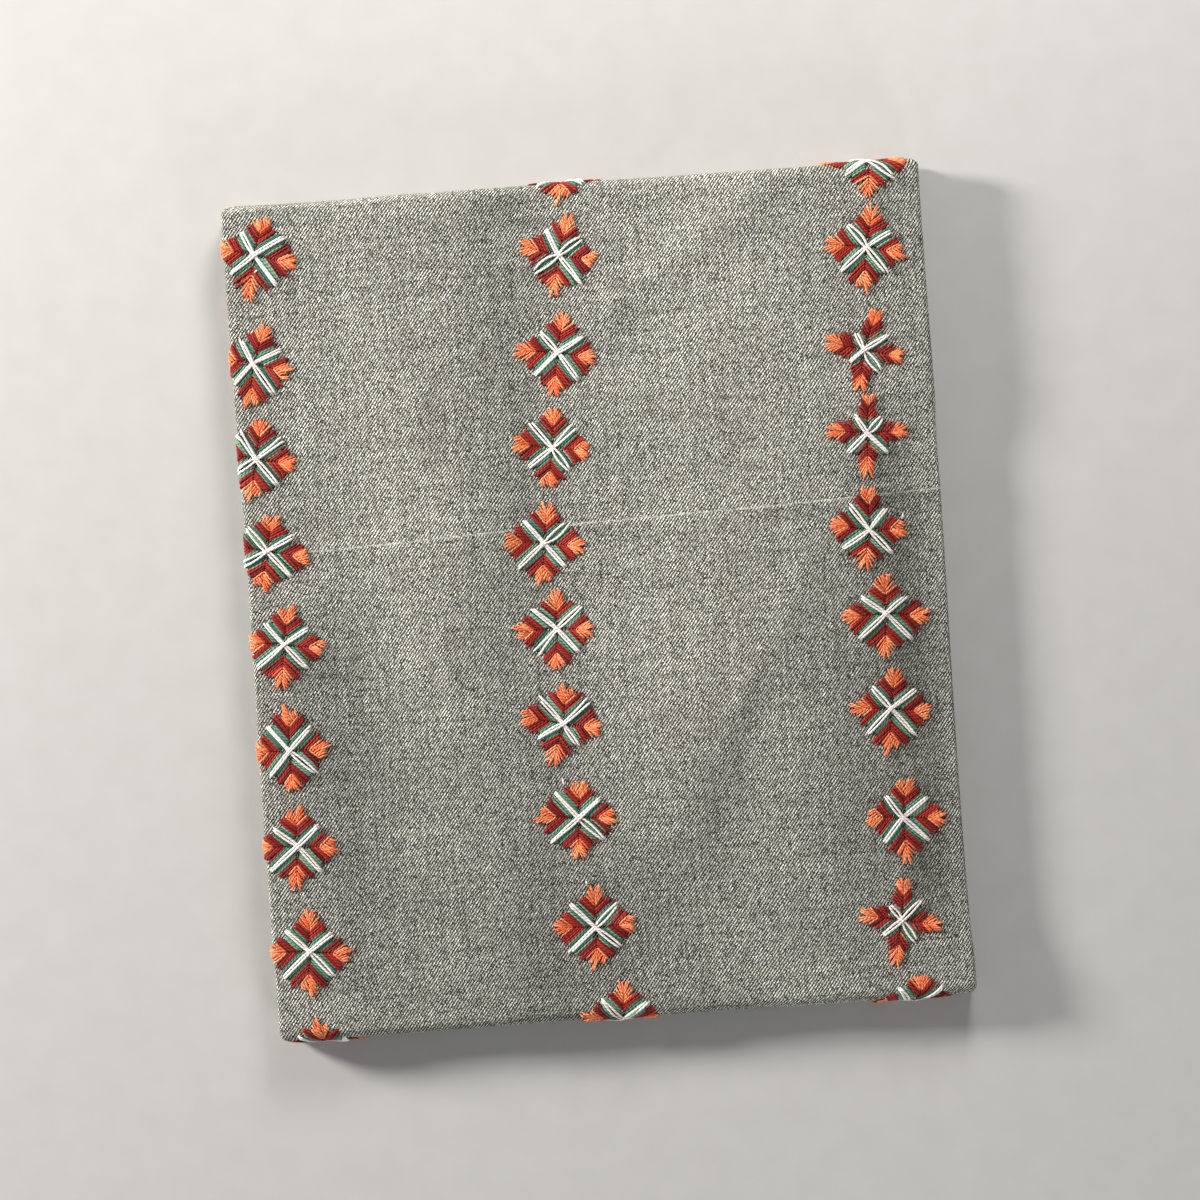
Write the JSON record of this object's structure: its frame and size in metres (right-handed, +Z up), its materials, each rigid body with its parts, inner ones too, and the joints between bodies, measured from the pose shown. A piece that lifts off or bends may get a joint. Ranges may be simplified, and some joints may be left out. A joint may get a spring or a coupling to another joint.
{
  "type": "folded wool shawl",
  "caption": "Grey wool twill shawl with hand-embroidered diamond crosses, folded flat into a soft rectangular packet.",
  "frame": {"origin": "middle of the folded shawl's underside, on the surface it rests on", "axes": "+X across the folded shawl, +Y along it towards the far folds, +Z up out of the embroidered face"},
  "size_m": [0.3403, 0.4093, 0.0205],
  "materials": {
    "wool_twill": "heather grey-green wool twill, soft and matte with a light nap",
    "yarn_red": "brick red wool embroidery yarn, soft sheen",
    "yarn_orange": "orange wool embroidery yarn, soft sheen",
    "yarn_green": "blue-green wool embroidery yarn, soft sheen",
    "yarn_white": "natural white wool embroidery yarn, soft sheen"
  },
  "bodies": {
    "root": {"front_panel": "wool_twill", "hidden_layers": "wool_twill"}
  },
  "joints": []
}
